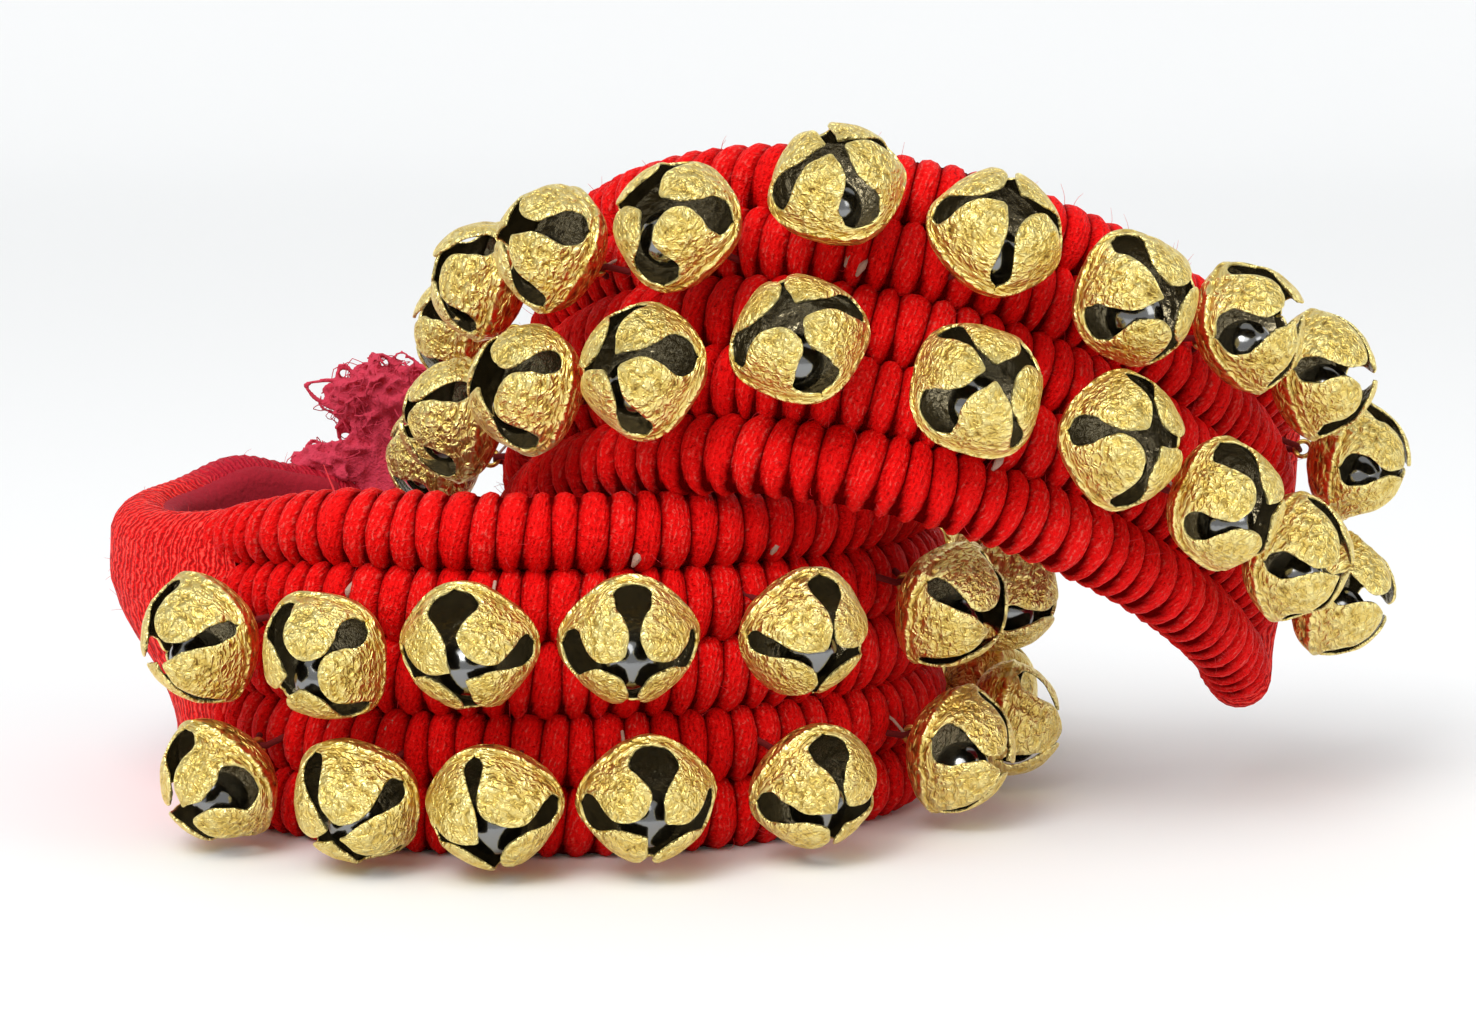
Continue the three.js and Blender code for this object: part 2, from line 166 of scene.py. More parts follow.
def weld(piece, gap):
    bpy.context.view_layer.objects.active = piece
    bpy.ops.object.mode_set(mode="EDIT")
    bpy.ops.mesh.select_all(action="SELECT")
    bpy.ops.mesh.remove_doubles(threshold=gap)
    bpy.ops.mesh.dissolve_degenerate(threshold=gap)
    bpy.ops.mesh.select_all(action="SELECT")
    bpy.ops.mesh.normals_make_consistent(inside=False)
    bpy.ops.object.mode_set(mode="OBJECT")
    bpy.ops.object.shade_smooth()


def applyAll(piece):
    bpy.context.view_layer.objects.active = piece
    for modifier in list(piece.modifiers):
        bpy.ops.object.modifier_apply(modifier=modifier.name)


def strandPiece(name, paths, thickness, sides):  # many thin strands in one piece
    curve = bpy.data.curves.new(name, "CURVE")
    curve.dimensions = "3D"
    curve.bevel_depth = thickness / 2
    curve.bevel_resolution = sides
    curve.use_fill_caps = True
    for path, taper in paths:
        line = curve.splines.new("POLY")
        line.points.add(len(path) - 1)
        for point, place, width in zip(line.points, path, taper):
            point.co = (*place, 1)
            point.radius = width
    piece = bpy.data.objects.new(name, curve)
    bpy.context.collection.objects.link(piece)
    clearSelection()
    piece.select_set(True)
    bpy.context.view_layer.objects.active = piece
    bpy.ops.object.convert(target="MESH")
    bpy.ops.object.shade_smooth()
    return bpy.context.object


# materials

def newMaterial(name):
    material = bpy.data.materials.new(name)
    material.use_nodes = True
    tree = material.node_tree
    return material, tree, tree.nodes["Principled BSDF"]


def addNode(tree, kind, **settings):
    node = tree.nodes.new("ShaderNode" + kind)
    for key, value in settings.items():
        if key in node.inputs:
            node.inputs[key].default_value = value
        else:
            setattr(node, key, value)
    return node


def addRamp(tree, source, stops):
    ramp = tree.nodes.new("ShaderNodeValToRGB")
    while len(ramp.color_ramp.elements) < len(stops):
        ramp.color_ramp.elements.new(0.5)
    for element, (place, colour) in zip(ramp.color_ramp.elements, stops):
        element.position = place
        element.color = (*colour, 1)
    tree.links.new(source, ramp.inputs["Fac"])
    return ramp.outputs["Color"]


def addMath(tree, operation, first, second):
    node = tree.nodes.new("ShaderNodeMath")
    node.operation = operation
    for socket, value in zip(node.inputs, (first, second)):
        if isinstance(value, (int, float)):
            socket.default_value = value
        else:
            tree.links.new(value, socket)
    return node.outputs[0]


yarn = {
    # the crevice colour is painted shade, laid into the crevices between the ribs
    "creviceShade": (0.12, 0.0002, 0.0004), "faded": (0.44, 0.010, 0.032), "glint": (1.0, 0.45, 0.42),
    "roughness": 0.55, "gloss": 0.22, "fibreShare": 0.4, "level": 0.7,
    "ribTone": 0.15, "yarnTone": 1.35, "midTone": 0.42,
    "ribYarn": {
        "strand": 0.62, "slant": 9, "ply": 0.16, "bump": 0.75,
        # the colours follow the bump's height: the yarn's own mottling, with painted shade in the low spots and
        # painted glints in the pink top stop
        "colours": [(0.10, (0.50, 0.0005, 0.001)), (0.38, (0.96, 0.0015, 0.002)),
                    (0.62, (1.0, 0.006, 0.006)), (0.86, (1.0, 0.11, 0.085))],
    },
    "bindingYarn": {
        "strand": 0.6, "slant": 4, "ply": 0.5, "bump": 0.3,
        # as above: the yarn's own mottling, painted shade in the low spots, painted glints in the top stop
        "colours": [(0.2, (0.40, 0.0008, 0.0012)), (0.42, (0.80, 0.003, 0.004)),
                    (0.64, (0.94, 0.008, 0.008)), (0.86, (1.0, 0.08, 0.06))],
    },
}


def yarnMaterial(name):
    material, tree, shader = newMaterial(name)
    wound = yarn[name]
    uv = addNode(tree, "UVMap")
    turned = addNode(tree, "Mapping", Rotation=(0, 0, math.radians(wound["slant"])))
    tree.links.new(uv.outputs[0], turned.inputs["Vector"])
    plies = addNode(
        tree, "TexWave", wave_type="BANDS", bands_direction="X",
        Scale=2 * math.pi / 20 / wound["strand"], Distortion=8.0, Detail=2.0)  # one wave to a strand
    plies.inputs["Detail Scale"].default_value = 0.8
    tree.links.new(turned.outputs[0], plies.inputs["Vector"])
    drawn = addNode(tree, "Mapping", Scale=(1.7, 1.25, 1))
    tree.links.new(turned.outputs[0], drawn.inputs["Vector"])
    tufts = addNode(tree, "TexNoise", Scale=1.0, Detail=3.0, Roughness=0.7, Distortion=0.4)
    fibres = addNode(tree, "TexNoise", Scale=2.6, Detail=2.0, Roughness=0.6)
    for node in (tufts, fibres):
        tree.links.new(drawn.outputs[0], node.inputs["Vector"])
    plyHeight = addMath(tree, "MULTIPLY", plies.outputs["Fac"], wound["ply"])
    fibreHeight = addMath(tree, "MULTIPLY", fibres.outputs["Fac"], yarn["fibreShare"])
    height = addMath(tree, "ADD", plyHeight, tufts.outputs["Fac"])
    height = addMath(tree, "ADD", height, fibreHeight)
    bump = addNode(tree, "Bump", Strength=1.0, Distance=wound["bump"] * mm)
    tree.links.new(height, bump.inputs["Height"])
    tree.links.new(bump.outputs[0], shader.inputs["Normal"])
    rib = addNode(tree, "Attribute", attribute_name="rib")
    deep = addNode(tree, "Attribute", attribute_name="deep")
    # painted shade on the far end of the binding
    faded = addNode(tree, "Attribute", attribute_name="faded")
    # the tone rises with the bump's height, so its low spots get painted shade and its high spots painted glints
    even = addMath(tree, "SUBTRACT", height, yarn["level"] + wound["ply"] / 2)  # nought where the yarn is level
    ribTone = addMath(tree, "MULTIPLY", rib.outputs["Fac"], yarn["ribTone"])
    yarnTone = addMath(tree, "MULTIPLY", even, yarn["yarnTone"])
    tone = addMath(tree, "ADD", ribTone, yarnTone)
    tone = addMath(tree, "ADD", tone, yarn["midTone"])
    colour = addRamp(tree, tone, wound["colours"])
    # painted shade: the crevice colour darkens the ribs where the deep mark runs into a crevice
    for mark, tint in ((deep, yarn["creviceShade"]), (faded, yarn["faded"])):
        mix = addNode(tree, "Mix", data_type="RGBA")
        mix.inputs[7].default_value = (*tint, 1)
        tree.links.new(mark.outputs["Fac"], mix.inputs[0])
        tree.links.new(colour, mix.inputs[6])
        colour = mix.outputs[2]
    tree.links.new(colour, shader.inputs["Base Color"])
    raised = addMath(tree, "SUBTRACT", 1.0, deep.outputs["Fac"])
    tree.links.new(addMath(tree, "MULTIPLY", raised, yarn["gloss"]), shader.inputs["Specular IOR Level"])
    shader.inputs["Specular Tint"].default_value = (*yarn["glint"], 1)
    shader.inputs["Roughness"].default_value = yarn["roughness"]
    return material


brass = {
    "colours": [(0.12, (0.24, 0.14, 0.03)), (0.42, (0.82, 0.60, 0.145)), (0.85, (1.0, 0.84, 0.33))],
    "bump": 1.25, "depth": 1.05, "roughness": (0.30, 0.46), "drawn": (0.75, 1.5), "patch": 5.0,
    "scaleShare": 0.45, "heightTone": 1.3, "patchTone": 0.35, "paintedLightTone": 0.5,
}


def brassMaterial():
    material, tree, shader = newMaterial("hammeredBrass")
    coords = addNode(tree, "TexCoord")
    uv = addNode(tree, "UVMap")
    stretch = [share / brass["bump"] for share in brass["drawn"]]  # wrinkles run round the bell
    drawn = addNode(tree, "Mapping", Scale=(*stretch, 1))
    tree.links.new(uv.outputs[0], drawn.inputs["Vector"])
    wrinkles = addNode(tree, "TexNoise", Scale=1.0, Detail=2.0, Roughness=0.5, Distortion=0.9)
    tree.links.new(drawn.outputs[0], wrinkles.inputs["Vector"])
    scales = addNode(tree, "TexVoronoi", feature="SMOOTH_F1", Scale=1 / (brass["bump"] * mm))
    patches = addNode(tree, "TexNoise", Scale=1 / (brass["patch"] * mm), Detail=2.0)
    for node in (scales, patches):
        tree.links.new(coords.outputs["Object"], node.inputs["Vector"])
    scaled = addMath(tree, "MULTIPLY", scales.outputs["Distance"], brass["scaleShare"])
    height = addMath(tree, "SUBTRACT", wrinkles.outputs["Fac"], scaled)
    bump = addNode(tree, "Bump", Strength=1.0, Distance=brass["depth"] * mm)
    tree.links.new(height, bump.inputs["Height"])
    tree.links.new(bump.outputs[0], shader.inputs["Normal"])
    # painted light: highlights on the slot edges, petal tips and lip, and painted shade on the back cup
    worn = addNode(tree, "Attribute", attribute_name="worn")
    heightTone = addMath(tree, "MULTIPLY", height, brass["heightTone"])
    patchTone = addMath(tree, "MULTIPLY", patches.outputs["Fac"], brass["patchTone"])
    paintedLightTone = addMath(tree, "MULTIPLY", worn.outputs["Fac"], brass["paintedLightTone"])
    tone = addMath(tree, "ADD", heightTone, patchTone)
    tone = addMath(tree, "ADD", tone, paintedLightTone)
    colour = addRamp(tree, tone, brass["colours"])
    tree.links.new(colour, shader.inputs["Base Color"])
    shine = addNode(tree, "MapRange")
    shine.inputs["To Min"].default_value = brass["roughness"][1]
    shine.inputs["To Max"].default_value = brass["roughness"][0]
    tree.links.new(tone, shine.inputs["Value"])
    tree.links.new(shine.outputs[0], shader.inputs["Roughness"])
    shader.inputs["Metallic"].default_value = 1
    return material


def plainMaterial(name, colour, roughness, metallic=0.0, grain=0.0, grainSize=1.0):  # grain in millimetres
    material, tree, shader = newMaterial(name)
    shader.inputs["Base Color"].default_value = (*colour, 1)
    shader.inputs["Roughness"].default_value = roughness
    shader.inputs["Metallic"].default_value = metallic
    if grain:
        coords = addNode(tree, "TexCoord")
        noise = addNode(tree, "TexNoise", Scale=1 / (grainSize * mm), Detail=4.0)
        tree.links.new(coords.outputs["Object"], noise.inputs["Vector"])
        bump = addNode(tree, "Bump", Strength=1.0, Distance=grain * mm)
        tree.links.new(noise.outputs["Fac"], bump.inputs["Height"])
        tree.links.new(bump.outputs[0], shader.inputs["Normal"])
    return material


ribYarn = yarnMaterial("ribYarn")
bindingYarn = yarnMaterial("bindingYarn")
hammeredBrass = brassMaterial()
bellInside = plainMaterial("bellInside", (0.27, 0.23, 0.14), 0.24, 0.9, 0.5, 1.3)
ballSteel = plainMaterial("ballSteel", (0.25, 0.253, 0.25), 0.16, 1.0, 0.03, 1.2)
cordYarn = plainMaterial("cordYarn", (0.16, 0.001, 0.002), 0.9, 0.0, 0.2, 0.5)
frayYarn = plainMaterial("frayYarn", (0.66, 0.04, 0.085), 0.9, 0.0, 0.5, 0.45)
fuzzYarn = plainMaterial("fuzzYarn", (0.70, 0.02, 0.03), 0.7)
creamThread = plainMaterial("creamThread", (0.50, 0.33, 0.26), 1.0, 0.0, 0.25, 0.3)
linerFelt = plainMaterial("linerFelt", (0.36, 0.006, 0.02), 1.0, 0.0, 0.35, 1.1)
print("materials made")


# the wrapped rolls

ribs = {
    "width": 3.35, "jitter": 0.16, "depth": 1.15, "swell": 0.22, "slant": 0.3, "around": 28,
    "pinchLow": 0.5, "pinchHigh": 0.2, "cuts": [0.0, 0.07, 0.18, 0.33, 0.5, 0.67, 0.82, 0.93],
    "press": 0.75, "meet": 0.5, "lump": 0.09, "finest": 0.55, "coarsen": 0.05, "wander": 0.5, "lift": 0.5,
    "sideShare": 0.5, "shade": 1.5,
}
unevenness = np.random.default_rng(5)


def endScale(length, start, stop):  # rolls round off at their ends
    near = np.minimum(length - start, stop - length) / band["endRound"]
    return np.sqrt(np.clip(1 - np.clip(1 - near, 0, 1) ** 2, 0, 1))


def wrapRoll(name, pad, roll, start, stop):
    count = max(2, round((stop - start) / ribs["width"]))
    widths = 1 + ribs["jitter"] * chance.uniform(-1, 1, count)
    if pad is standing:  # the ribs grow finer towards the bound end
        widths = widths * np.clip(ribs["finest"] + ribs["coarsen"] * np.arange(count), 0, 1)
    edges = start + (stop - start) * np.concatenate([[0], np.cumsum(widths)]) / widths.sum()
    cuts = np.array(ribs["cuts"])
    lengths = np.concatenate([(edges[:-1, None] + np.diff(edges)[:, None] * cuts).ravel(), [stop]])
    across = np.concatenate([np.tile(cuts, count), [0.0]])
    tone = np.concatenate([np.repeat(chance.uniform(0, 1, count), len(cuts)), [0.5]])
    lift = np.concatenate([np.repeat(chance.uniform(-1, 1, count), len(cuts)), [0.0]])
    wander = np.interp(lengths, edges, chance.uniform(-ribs["wander"], ribs["wander"], count + 1))
    lumps = ribs["lump"] * unevenness.normal(0, 1, (len(lengths), ribs["around"]))

    def shape(i, j):
        turn = 2 * math.pi * j / ribs["around"] - math.pi
        cos, sin = np.cos(turn), np.sin(turn)
        length = lengths[i]
        full = endScale(length, start, stop)
        inside = 1 - np.abs(2 * across[i] - 1)  # 0 in a crevice, 1 on a rib's ridge
        pinch = np.where(sin < 0, ribs["pinchLow"] * sin ** 2, ribs["pinchHigh"] * sin ** 3)  # narrower feet
        inside = np.clip(inside - pinch, 0, 1)
        sunk = ribs["depth"] * (1 - np.sqrt(1 - (1 - inside) ** 2))
        ridge = ribs["swell"] * (1 + ribs["lift"] * lift[i]) * inside - sunk + lumps[i, j % ribs["around"]]
        out = (band["halfThick"] + ridge) * cos * full
        neighbour = np.where(sin > 0, roll < band["rolls"] - 1, roll > 0)  # rolls press into each other
        touch = np.where(sin > 0, pad is standing, pad is leaning)  # where the two pads lie on each other
        tall = band["pitch"] / 2 + np.where(neighbour, ribs["press"], ribs["meet"] * touch)
        tall = tall + ribs["sideShare"] * ridge
        up = (roll + 0.5) * band["pitch"] + tall * sin * full
        slanted = length + (ribs["slant"] + wander[i]) * sin * full
        slanted = np.clip(slanted, start, stop)
        points = onPad(pad, slanted, out, up)
        uv = np.stack([length, turn * band["halfThick"]], -1)
        # the deep mark carries the painted shade of the crevices
        return points, uv, {"rib": tone[i], "deep": np.clip(sunk / ribs["depth"], 0, 1) ** ribs["shade"]}

    piece = gridPiece(name, len(lengths) - 1, ribs["around"], shape)
    weld(piece, seam)
    piece.data.materials.append(ribYarn)
    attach(piece, pad["body"])
    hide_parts(pad["node"])


binding = {
    "to": -45.0, "under": 7.0, "cap": 7.5, "short": [4.0, 2.0, 1.5, 2.0, 4.0], "step": 0.36,
    "ripple": 0.15, "rippleWidth": 1.3, "rippleLean": 0.05, "proud": 0.25, "hem": 5.0, "tuck": 1.4,
    "groove": 0.55, "grooveEnd": 1.4, "shoulder": 9.0, "heel": 4.5, "tipTall": 0.75,
    # the far-end span and share paint shade, darker and duller, over the far end of the binding
    "fade": (80.0, 92.0), "farShadeShare": 0.85, "toneSpread": 0.35, "toneWaves": (3.1, 1.3),
}

for roll in range(band["rolls"]):
    short = binding["short"][roll]
    wrapRoll(f"standingRoll{roll + 1}", standing, roll, binding["to"] - binding["under"], standing["stop"] - short)
    wrapRoll(f"leaningRoll{roll + 1}", leaning, roll, leaning["start"] + short, leaning["stop"] - short)
print("rolls wrapped")


# the bare end of the standing pad and the other three ends, bound over with fine yarn

def bindEnd(name, pad, end, hemAt):
    inward = math.copysign(1, hemAt - end)
    away = np.arange(0, abs(hemAt - end) + binding["step"], binding["step"])
    half = band["halfThick"]
    high = band["height"] - binding["shoulder"]
    side = np.linspace(binding["heel"], high, 18)
    cap = np.linspace(0, math.pi, 11)[1:-1]
    outline = [(half, up) for up in side]
    outline += [(half * math.cos(a), high + binding["shoulder"] * math.sin(a)) for a in cap]
    outline += [(-half, up) for up in side[::-1]]
    outline += [(-half * math.cos(a), binding["heel"] * (1 - math.sin(a))) for a in cap]
    outline.append(outline[0])
    outline = np.array(outline)
    walk = np.concatenate([[0], np.cumsum(np.hypot(*np.diff(outline, axis=0).T))])
    bulge = np.abs(np.sin(math.pi * outline[:, 1] / band["pitch"]))

    def shape(i, j):
        full = endScale(away[i], 0, math.inf)
        hem = np.clip((abs(hemAt - end) - away[i]) / binding["hem"], 0, 1)
        groove = binding["groove"] * (bulge[j] - 1) * (binding["grooveEnd"] - hem)  # deepest at the hem
        proud = binding["proud"] + groove - binding["tuck"] * (1 - hem) ** 2
        length = end + inward * away[i]
        ripple = np.sin(2 * math.pi * length / binding["rippleWidth"] + binding["rippleLean"] * outline[j, 1])
        proud = proud + binding["ripple"] * ripple
        out = outline[j, 0] * (1 + proud / half) * full
        up = outline[j, 1] + proud * (2 * outline[j, 1] / band["height"] - 1)
        middle = band["height"] / 2
        up = middle + (up - middle) * (binding["tipTall"] + (1 - binding["tipTall"]) * full)
        points = onPad(pad, length, out, up)
        overTip = half * (1 - full)  # the yarn runs on over the rounded tip
        uv = np.stack([length - inward * overTip, walk[j]], -1)
        quick, slow = (np.sin(length * rate) for rate in binding["toneWaves"])
        tone = 0.5 + binding["toneSpread"] * quick * slow
        faded = binding["farShadeShare"] * easeIn(-length, *binding["fade"])  # painted shade: the far end of the binding is drawn darker and duller
        return points, uv, {"rib": tone, "deep": np.zeros(len(length)), "faded": faded}

    piece = gridPiece(name, len(away) - 1, len(outline) - 1, shape)
    weld(piece, seam)
    piece.data.materials.append(bindingYarn)
    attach(piece, pad["body"])
    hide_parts(pad["node"])


bindEnd("endBinding", standing, standing["start"], binding["to"])
bindEnd("standingCap", standing, standing["stop"], standing["stop"] - binding["cap"])
bindEnd("leaningLeftCap", leaning, leaning["start"], leaning["start"] + binding["cap"])
bindEnd("leaningRightCap", leaning, leaning["stop"], leaning["stop"] - binding["cap"])
print("ends bound")


# a felt lining along the inner face of each pad

lining = {"inset": 4.0, "step": 1.2, "proud": 0.6, "inside": 2.0, "edge": 1.6, "shoulder": 3.4, "sag": 0.12}


def linePad(pad):
    length = np.arange(pad["start"] + lining["inset"], pad["stop"] - lining["inset"], lining["step"])
    face = band["halfThick"] + lining["proud"]
    low, high = lining["edge"], band["height"] - lining["edge"]
    soft = lining["shoulder"]
    back = lining["inside"]
    thick = face - back
    bend = np.linspace(0, math.pi / 2, 5)[1:]
    outline = [(-back, up) for up in np.linspace(low, high, 12)]
    outline += [(-back - thick * math.sin(a), high - soft * (1 - math.cos(a))) for a in bend]
    outline += [(-face, up) for up in np.linspace(high - soft, low + soft, 14)[1:]]
    outline += [(-back - thick * math.cos(a), low + soft * (1 - math.sin(a))) for a in bend]
    outline = np.array(outline)
    soften = chance.uniform(-1, 1, (len(length), len(outline)))
    soften[:, -1] = soften[:, 0]

    def shape(i, j):
        full = endScale(length[i], length[0], length[-1])
        onFace = outline[j, 0] < lining["sag"] - face
        out = -back + (outline[j, 0] + back) * full + lining["sag"] * soften[i, j] * onFace
        points = onPad(pad, length[i], out, outline[j, 1])
        return points, np.stack([length[i], outline[j, 1]], -1), {}

    piece = gridPiece(pad["body"] + "Lining", len(length) - 1, len(outline) - 1, shape)
    weld(piece, seam)
    piece.data.materials.append(linerFelt)
    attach(piece, pad["body"])
    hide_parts(pad["node"])


linePad(standing)
linePad(leaning)
print("pads lined")


# the bells: a turned back cup, a thin lip, and four uneven petals bent over the front

bell = {
    "rim": 8.45, "square": 0.045, "back": 1.8, "cup": 5.6, "dome": 8.5, "wall": 0.5, "lip": 0.42,
    "petalColumns": 10, "cupTurns": [0, 14, 30, 46, 60, 72, 83], "tipRound": 58, "tipEnd": 84,
    "petalTurns": [0, 1.6, 4, 8, 9.5, 12, 16, 21, 27, 34, 41, 48, 55, 61, 67, 72, 77, 81, 84],
    "slotTurns": [0, 8, 9.5, 12, 16, 21, 27, 34, 41, 48, 55, 61, 84],
    "slotHalf": [0, 0, 0.85, 1.2, 1.42, 1.5, 1.45, 1.25, 0.95, 0.68, 0.45, 0.32, 0.25],
    "petalReach": (0.8, 1.0), "petalBend": (-1.0, 0.3), "petalSway": (-10, 10),
    "slotWide": (0.7, 2.15), "slotJag": 0.12, "slotLimit": 0.6, "leastRadius": 0.6,
    "tipBlunt": 0.97, "tipCurve": 2.4, "tipBand": 0.1, "cupCurve": 1.1, "cupStretch": 1.5, "cupEnd": 1.45,
    # the tip and lip marks paint highlights, the cup mark paints shade
    "petalApart": 20, "petalHalf": 0.75, "tipHighlight": 0.6, "lipHighlight": 0.7, "cupShade": 0.35, "seam": 0.02,
    "dent": 0.3, "dentSize": 2.6, "loop": 1.15, "loopWire": 0.35, "loopOut": 0.7,
}
# how far each bell nods from its place on the cord, in degrees; down is below nought
nods = {
    "standing_top": [-13, -15, -24, -22, -26, -24, -16, -14, -14, -22],
    "standing_low": [-28, -27, -29, -24, -26, -12, -14, -14, -14, -6],
    "leaning_top": [12, 18, 24, 26, 36, 34, 6, 22, 10, 6],
    "leaning_low": [12, 14, 16, 15, 27, 17, 10, 4, 4, 4],
}

dentTexture = bpy.data.textures.new("dents", "CLOUDS")
dentTexture.noise_scale = bell["dentSize"] * mm
dentTexture.noise_depth = 2


def plainName(node):  # standing_top_bell_01 becomes standingTopBell01
    first, *others = node.split("_")
    return first + "".join(word.capitalize() for word in others)


def bellSeat(node, nod):  # the bell's eye, directions and slot turn, from its joint and its CAD node
    joint = swings[node]
    eye = Vector(joint["pos_m"])
    axis = Vector(joint["axis"]).normalized()
    corners = {tuple(round(x, 6) for x in v.co) for v in frame["nodes"][node].data.vertices}
    far = max((Vector(c) - eye).length for c in corners)
    tips = [Vector(c) for c in corners if (Vector(c) - eye).length > far - bell["tipBand"] * mm]
    apex = sum(tips, Vector()) / len(tips)
    facing = (apex - eye).normalized()
    facing = (facing - axis * facing.dot(axis)).normalized()
    down = facing.cross(axis)
    tip = tips[0] - apex
    turn = math.atan2(tip.dot(down), tip.dot(axis)) - math.pi / 4
    middle = eye + facing * (bell["back"] + bell["cup"]) * mm
    angle = math.radians(-nod)
    nodded = facing * math.cos(angle) + down * math.sin(angle)  # turned about the middle of its rim
    eye = middle - nodded * (bell["back"] + bell["cup"]) * mm
    return eye, axis, nodded.cross(axis), nodded, turn


def makeBell(node, nod):
    eye, axis, down, facing, turn = bellSeat(node, nod)
    perPetal = bell["petalColumns"] + 1
    columns = 4 * perPetal
    cupRows = len(bell["cupTurns"])
    rows = cupRows + len(bell["petalTurns"]) - 1
    reach = chance.uniform(*bell["petalReach"], 4)
    bendIn = chance.uniform(*bell["petalBend"], 4)
    sway = np.radians(chance.uniform(*bell["petalSway"], 4))
    wide = chance.uniform(*bell["slotWide"], 4)  # how wide each slot has been left
    jag = 1 + bell["slotJag"] * chance.uniform(-1, 1, (4, rows + 1))
    basis = np.array([axis, down, facing])

    def shape(i, j):
        k = i % columns
        petal = k // perPetal
        share = 2 * (k % perPetal) / bell["petalColumns"] - 1  # the last column of each petal closes its slot
        isCup = j < cupRows
        cupTurn = np.radians(np.array(bell["cupTurns"])[np.minimum(j, cupRows - 1)])
        petalTurn = np.array(bell["petalTurns"])[np.maximum(j - cupRows, 0)]
        far = np.where(isCup, 0, petalTurn / bell["tipEnd"])
        lean = np.radians(petalTurn * (1 + (reach[petal] - 1) * far))
        radius = bell["rim"] * np.where(isCup, np.sin(cupTurn) ** bell["cupCurve"], np.cos(lean))
        height = np.where(
            isCup, bell["back"] + bell["cup"] * (1 - np.cos(cupTurn)),
            bell["back"] + bell["cup"] + bell["dome"] * np.sin(lean))
        slot = np.interp(petalTurn, bell["slotTurns"], bell["slotHalf"])
        side = np.where(share > 0, petal, (petal + 3) % 4)
        slot = np.where(isCup, 0, slot * wide[side] * jag[side, j])
        narrow = np.arcsin(np.clip(slot / np.maximum(radius, bell["leastRadius"]), 0, bell["slotLimit"]))
        tip = np.clip((petalTurn - bell["tipRound"]) / (bell["tipEnd"] - bell["tipRound"]), 0, 1)
        tip = np.where(isCup, 1, np.sqrt(1 - bell["tipBlunt"] * tip ** bell["tipCurve"]))
        angle = math.pi / 4 + petal * math.pi / 2 + share * (math.pi / 4 - narrow) * tip
        corner = bell["square"] * np.cos(4 * angle) * (radius / bell["rim"]) ** 2  # a little square
        angle = angle + sway[petal] * far ** 1.5
        bent = bendIn[petal] * far ** 2
        radius = radius * (1 + corner) + bent * np.cos(lean) + np.where(j == cupRows, bell["lip"], 0)
        height = height + bent * np.sin(lean)
        local = np.stack([radius * np.cos(angle + turn), radius * np.sin(angle + turn), height], -1) * mm
        slotFoot = bell["slotTurns"][1]
        edge = np.where(isCup, 0, np.abs(share) ** 8 * (petalTurn > slotFoot))  # painted highlight along the slot edges
        # painted highlights on the petal tips and the lip, painted shade on the back cup
        worn = edge + bell["tipHighlight"] * (j >= rows - 1) + bell["lipHighlight"] * (j == cupRows)
        worn = np.clip(worn, 0, 1) - bell["cupShade"] * isCup
        cupWalk = bell["cupStretch"] * bell["cup"] * (cupTurn / bell["cupEnd"] - 1)
        walk = np.where(isCup, cupWalk, bell["dome"] * lean)
        uv = np.stack([bell["petalApart"] * petal + bell["petalHalf"] * bell["rim"] * share, walk], -1)
        return local @ basis + np.array(eye), uv, {"worn": worn}

    piece = gridPiece(plainName(node), columns, rows, shape)
    bpy.ops.object.mode_set(mode="EDIT")
    bpy.ops.mesh.select_all(action="DESELECT")
    bpy.ops.object.mode_set(mode="OBJECT")
    for face in piece.data.polygons:  # the open slots
        column = face.index % columns
        face.select = column % perPetal == perPetal - 1 and face.index // columns >= cupRows
    bpy.ops.object.mode_set(mode="EDIT")
    bpy.ops.mesh.delete(type="FACE")
    bpy.ops.object.mode_set(mode="OBJECT")
    weld(piece, bell["seam"] * mm)
    piece.data.materials.append(hammeredBrass)
    piece.data.materials.append(bellInside)
    skin = piece.modifiers.new("wall", "SOLIDIFY")
    skin.thickness = bell["wall"] * mm
    skin.offset = -1
    skin.material_offset = 1
    smooth = piece.modifiers.new("smooth", "SUBSURF")
    smooth.levels = smooth.render_levels = 1
    dents = piece.modifiers.new("dents", "DISPLACE")
    dents.texture = dentTexture
    dents.texture_coords = "LOCAL"
    dents.strength = bell["dent"] * mm
    dents.mid_level = 0.5
    applyAll(piece)
    clearSelection()
    bpy.ops.mesh.primitive_torus_add(  # the soldered eye
        major_segments=16, minor_segments=8, major_radius=bell["loop"] * mm, minor_radius=bell["loopWire"] * mm,
        location=eye + facing * bell["loopOut"] * mm, rotation=axis.to_track_quat("Z", "Y").to_euler())
    bpy.context.object.data.materials.append(hammeredBrass)
    piece.select_set(True)
    bpy.context.view_layer.objects.active = piece
    bpy.ops.object.join()
    bpy.ops.object.shade_smooth()
    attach(piece, node)
    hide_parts(node)
    return eye, axis, down, facing


ball = {"radius": 3.7, "drop": 2.4, "rise": 9.2, "worn": 0.08}


